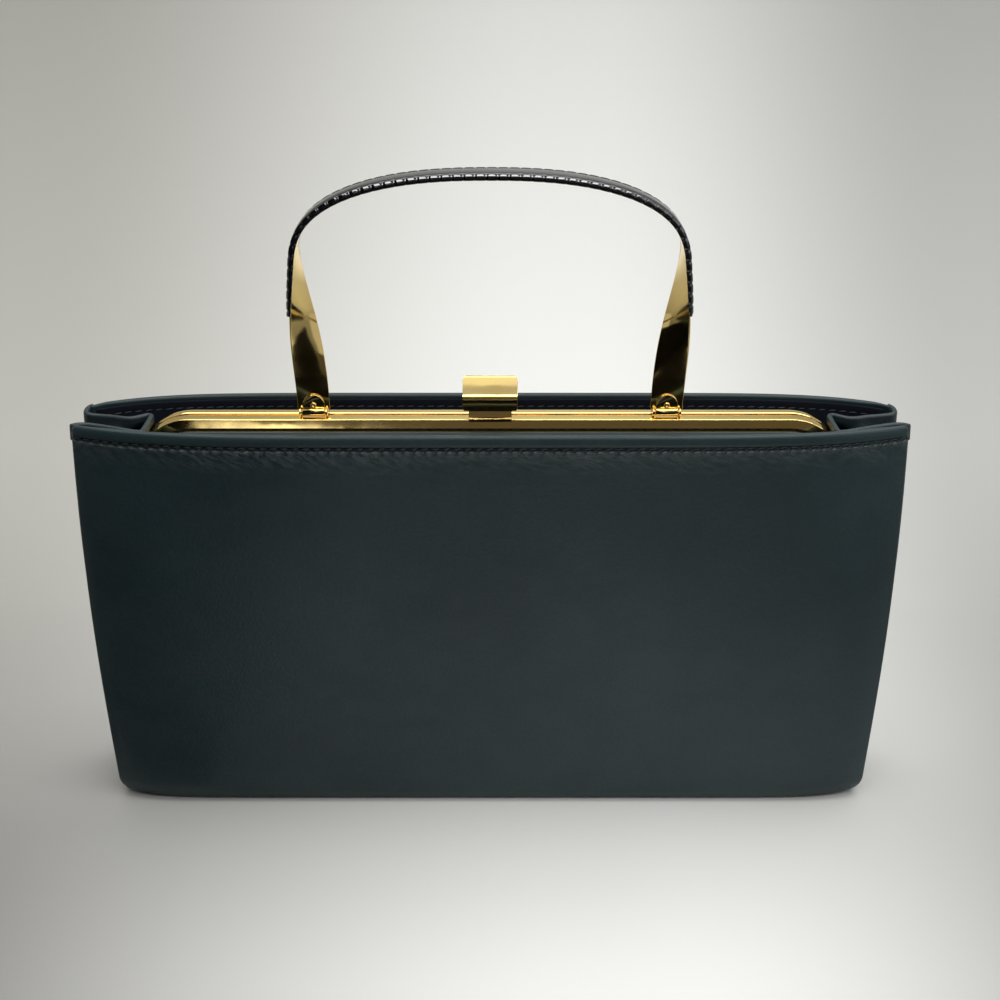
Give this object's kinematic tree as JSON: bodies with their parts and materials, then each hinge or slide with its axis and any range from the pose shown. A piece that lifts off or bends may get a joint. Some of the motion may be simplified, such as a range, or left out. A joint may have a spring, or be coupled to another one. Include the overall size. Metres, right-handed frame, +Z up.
{
  "type": "evening clutch",
  "caption": "Evening clutch: a framed centre pouch with a lift clasp between two open outer pockets, and a metal strip handle with a leather cover that folds down.",
  "frame": {"origin": "on the surface the bag stands on, under the middle of its bounding box", "axes": "+X along the bag's width to its right as seen from the front, -Y out of the front panel, +Z up"},
  "size_m": [0.2708, 0.0426, 0.2175],
  "materials": {
    "outer_leather": "smooth dark teal leather with a fine grain and a soft sheen",
    "patent_leather": "black patent leather, high gloss",
    "lining": "navy woven lining",
    "board": "grey-brown stiffener board",
    "gold_metal": "polished gold tone"
  },
  "bodies": {
    "bag": {"base_panel": "outer_leather", "base_board": "board", "rear_panel": "outer_leather", "rear_board": "board", "rear_pocket_lining": "lining", "rear_inner_wall": "outer_leather", "pouch_lining_rear": "lining", "side_gusset_left": "outer_leather", "side_gusset_right": "outer_leather", "frame_rear_rail": "gold_metal", "frame_pivot_left": "gold_metal", "frame_pivot_right": "gold_metal", "handle_pin_left": "gold_metal", "handle_pin_right": "gold_metal", "clasp_pin": "gold_metal"},
    "front_wall": {"front_panel": "outer_leather", "front_board": "board", "front_pocket_lining": "lining", "front_inner_wall": "outer_leather", "pouch_lining_front": "lining"},
    "front_rail": {"frame_front_rail": "gold_metal", "clasp_catch": "gold_metal"},
    "handle": {"handle_strip": "gold_metal", "handle_cover": "patent_leather", "handle_leaf_left": "gold_metal", "handle_leaf_right": "gold_metal", "handle_rivet_left": "gold_metal", "handle_rivet_right": "gold_metal"},
    "clasp": {"clasp_tab": "gold_metal"}
  },
  "joints": [
    {"name": "frame_open", "type": "hinge", "parent": "bag", "child": "front_rail", "pos_m": [0, 0, 0.103], "axis": [1, 0, 0], "range_deg": [0, 45]},
    {"name": "front_wall_give", "type": "hinge", "parent": "bag", "child": "front_wall", "pos_m": [0, -0.0204, 0.00815], "axis": [1, 0, 0], "range_deg": [0, 12.4]},
    {"name": "handle_fold", "type": "hinge", "parent": "bag", "child": "handle", "pos_m": [0, -0.0023, 0.1395], "axis": [1, 0, 0], "range_deg": [0, 90]},
    {"name": "clasp_lift", "type": "hinge", "parent": "bag", "child": "clasp", "pos_m": [0, 0.0026, 0.1397], "axis": [1, 0, 0], "range_deg": [-45, 0]}
  ],
  "couplings": [
    {"joint": "front_wall_give", "follows": "frame_open", "ratio": 0.275}
  ]
}
